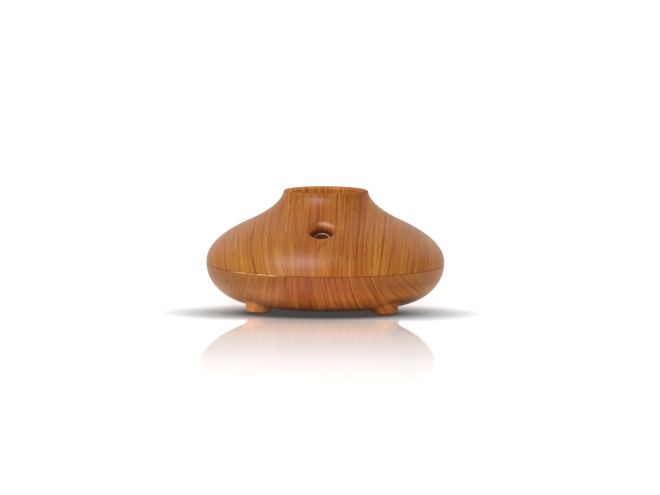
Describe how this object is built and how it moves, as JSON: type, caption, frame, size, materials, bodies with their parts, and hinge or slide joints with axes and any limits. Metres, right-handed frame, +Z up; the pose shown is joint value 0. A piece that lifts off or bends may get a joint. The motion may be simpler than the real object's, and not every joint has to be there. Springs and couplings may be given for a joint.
{
  "type": "cool mist humidifier",
  "caption": "Squat round bottle-fed cool mist humidifier with an open top collar, a side mist outlet and stub feet.",
  "frame": {"origin": "on the surface that the feet stand on, below the middle of the body", "axes": "+Z up along the collar's axis, the mist outlet faces -Y, the power socket and button are at +Y"},
  "size_m": [0.104, 0.104, 0.0505],
  "materials": {
    "wood_film": "satin wood-grain film over moulded plastic",
    "nozzle_grey": "glossy moulded plastic",
    "adapter_white": "fine satin moulded plastic",
    "basin_white": "satin moulded plastic",
    "duct_white": "satin moulded plastic",
    "foot_rubber": "matte moulded rubber",
    "silicone": "matte silicone",
    "screw_steel": "zinc-plated steel",
    "spring_steel": "drawn stainless wire",
    "disc_ceramic": "silvered ceramic disc",
    "fan_black": "glass-filled nylon",
    "bronze": "sintered bronze",
    "shaft_steel": "ground steel",
    "stator_core": "varnished laminations and copper",
    "board_green": "solder mask on glass-epoxy",
    "ferrite": "ferrite and enamelled wire",
    "can_sleeve": "shrink sleeve on an aluminium can",
    "sink_aluminium": "extruded aluminium",
    "chip_black": "moulded epoxy",
    "jack_steel": "nickel-plated steel",
    "lead_red": "PVC insulation",
    "button_brown": "glossy moulded plastic"
  },
  "bodies": {
    "base": {"upper_shell": "wood_film", "lower_shell": "wood_film", "foot_pads": "foot_rubber", "case_screws": "screw_steel", "mist_nozzle": "nozzle_grey", "nozzle_gasket": "foot_rubber", "mist_duct": "duct_white", "basin": "basin_white", "basin_gasket": "silicone", "basin_lid": "basin_white", "collar_gasket": "silicone", "basin_screws": "screw_steel", "piezo_disc": "disc_ceramic", "piezo_seal": "silicone", "piezo_retainer": "duct_white", "piezo_screws": "screw_steel", "piezo_leads": "lead_red", "fan_frame": "fan_black", "fan_bearing": "bronze", "fan_stator": "stator_core", "fan_screws": "screw_steel", "fan_leads": "lead_red", "air_duct": "duct_white", "driver_board": "board_green", "jack_board": "board_green", "board_screws": "screw_steel", "inductor": "ferrite", "filter_capacitor": "can_sleeve", "heat_sink": "sink_aluminium", "power_transistor": "chip_black", "usb_jack": "jack_steel", "tact_switch": "chip_black", "jack_leads": "lead_red"},
    "adapter": {"bottle_adapter": "adapter_white", "adapter_gasket": "silicone", "valve_spring": "spring_steel"},
    "valve": {"valve_stem": "adapter_white", "valve_seal": "silicone"},
    "fan": {"fan_rotor": "fan_black", "fan_shaft": "shaft_steel"},
    "button": {"power_button": "button_brown", "switch_plunger": "chip_black"}
  },
  "joints": [
    {"name": "adapter_lift", "type": "slide", "parent": "base", "child": "adapter", "axis": [0, 0, 1], "range_m": [0, 0.038]},
    {"name": "valve_travel", "type": "slide", "parent": "adapter", "child": "valve", "axis": [0, 0, 1], "range_m": [-0.002, 0], "deforming": ["valve_spring"]},
    {"name": "fan_spin", "type": "hinge", "parent": "base", "child": "fan", "pos_m": [-0.0315, 0, 0.014], "axis": [0, 0, 1], "continuous": true},
    {"name": "button_press", "type": "slide", "parent": "base", "child": "button", "axis": [0, -1, 0], "range_m": [0, 0.0006], "stiffness_N_per_m": 400}
  ],
  "couplings": [
    {"joint": "valve_travel", "follows": "adapter_lift", "ratio": -0.052632}
  ]
}
